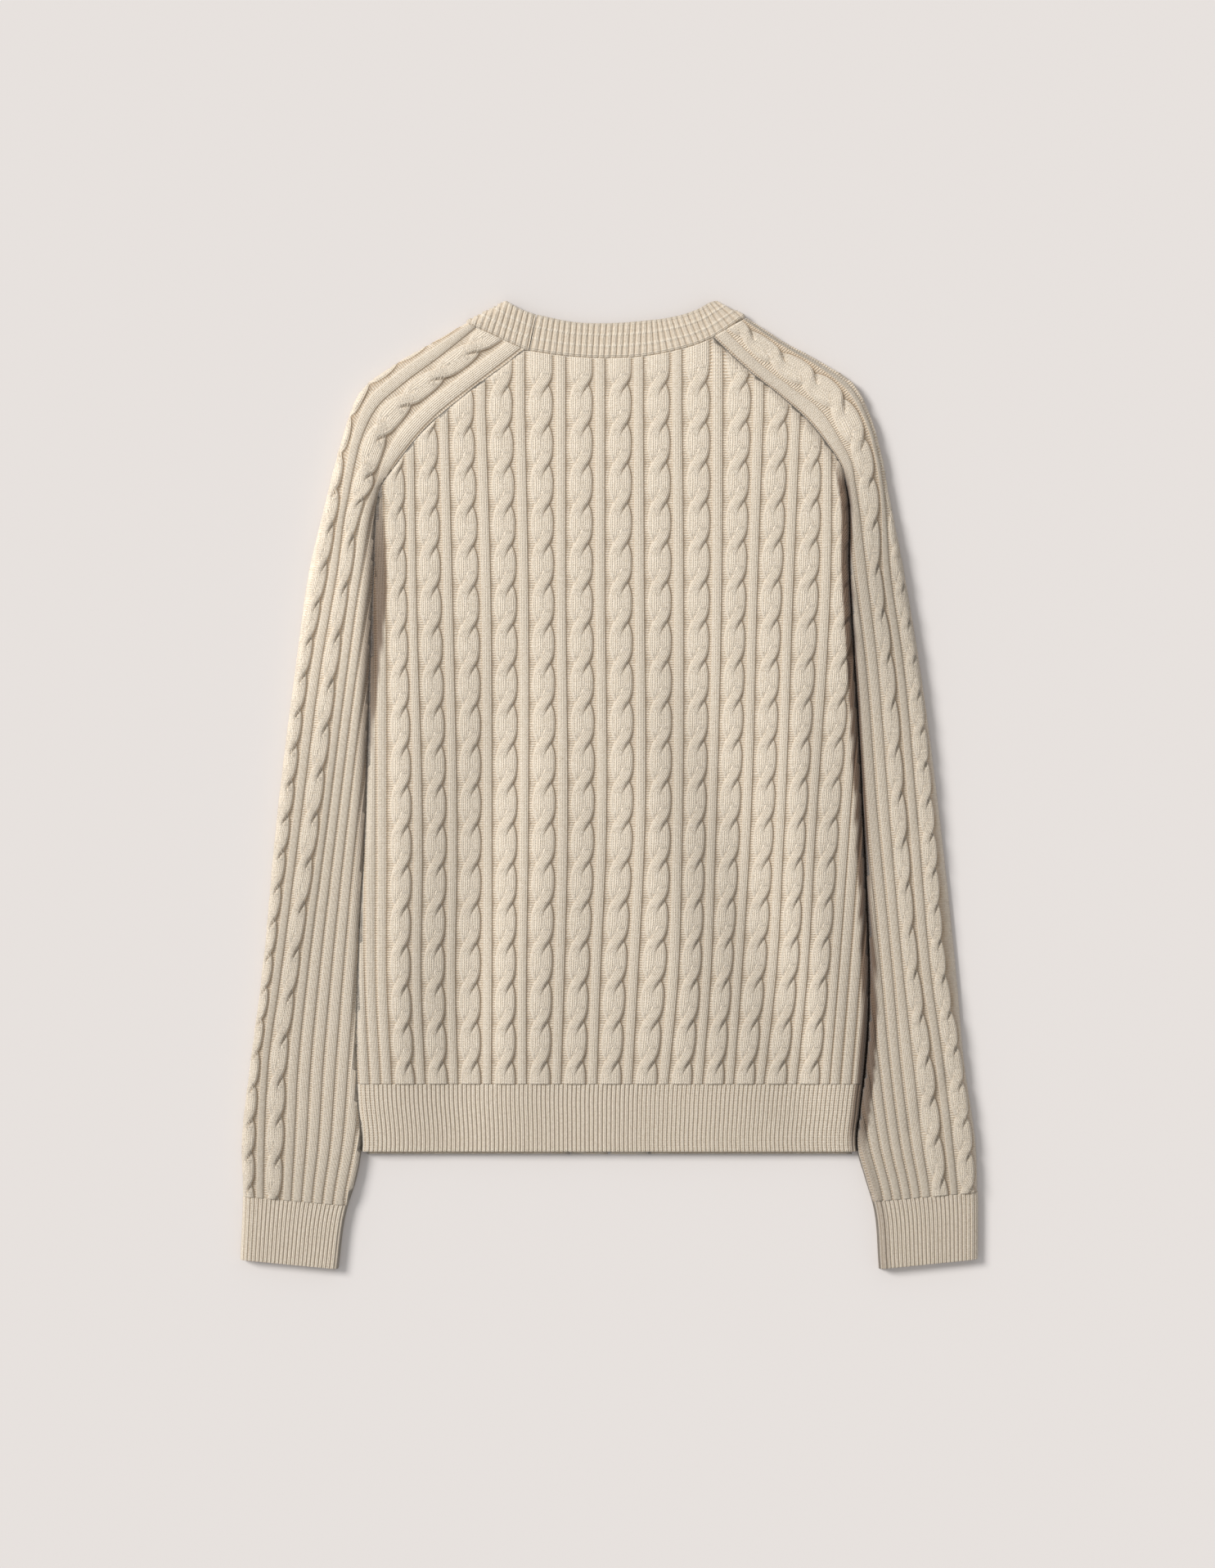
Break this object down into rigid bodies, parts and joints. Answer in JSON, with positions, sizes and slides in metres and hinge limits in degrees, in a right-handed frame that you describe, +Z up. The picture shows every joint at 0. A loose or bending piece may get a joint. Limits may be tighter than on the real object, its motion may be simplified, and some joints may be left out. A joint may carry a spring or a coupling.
{
  "type": "cardigan",
  "caption": "Raglan cable-knit cardigan laid flat with its back up, with a ribbed neckband, cuffs and hem.",
  "frame": {"origin": "centre of the bounding box, on the surface that the cardigan lies on", "axes": "+X to the wearer's right, +Y from the hem to the neck, +Z up from the surface, towards the back's outside"},
  "size_m": [0.5963, 0.7822, 0.0133],
  "materials": {
    "cable_knit": "matte heathered wool, cables and ribs",
    "rib_knit": "matte heathered wool, fine rib"
  },
  "bodies": {
    "root": {"back": "cable_knit", "hem_back": "rib_knit", "front_left": "cable_knit", "front_right": "cable_knit", "hem_front_left": "rib_knit", "hem_front_right": "rib_knit", "sleeve_left": "cable_knit", "sleeve_right": "cable_knit", "cuff_left": "rib_knit", "cuff_right": "rib_knit", "band_left": "rib_knit", "band_right": "rib_knit"}
  },
  "joints": []
}
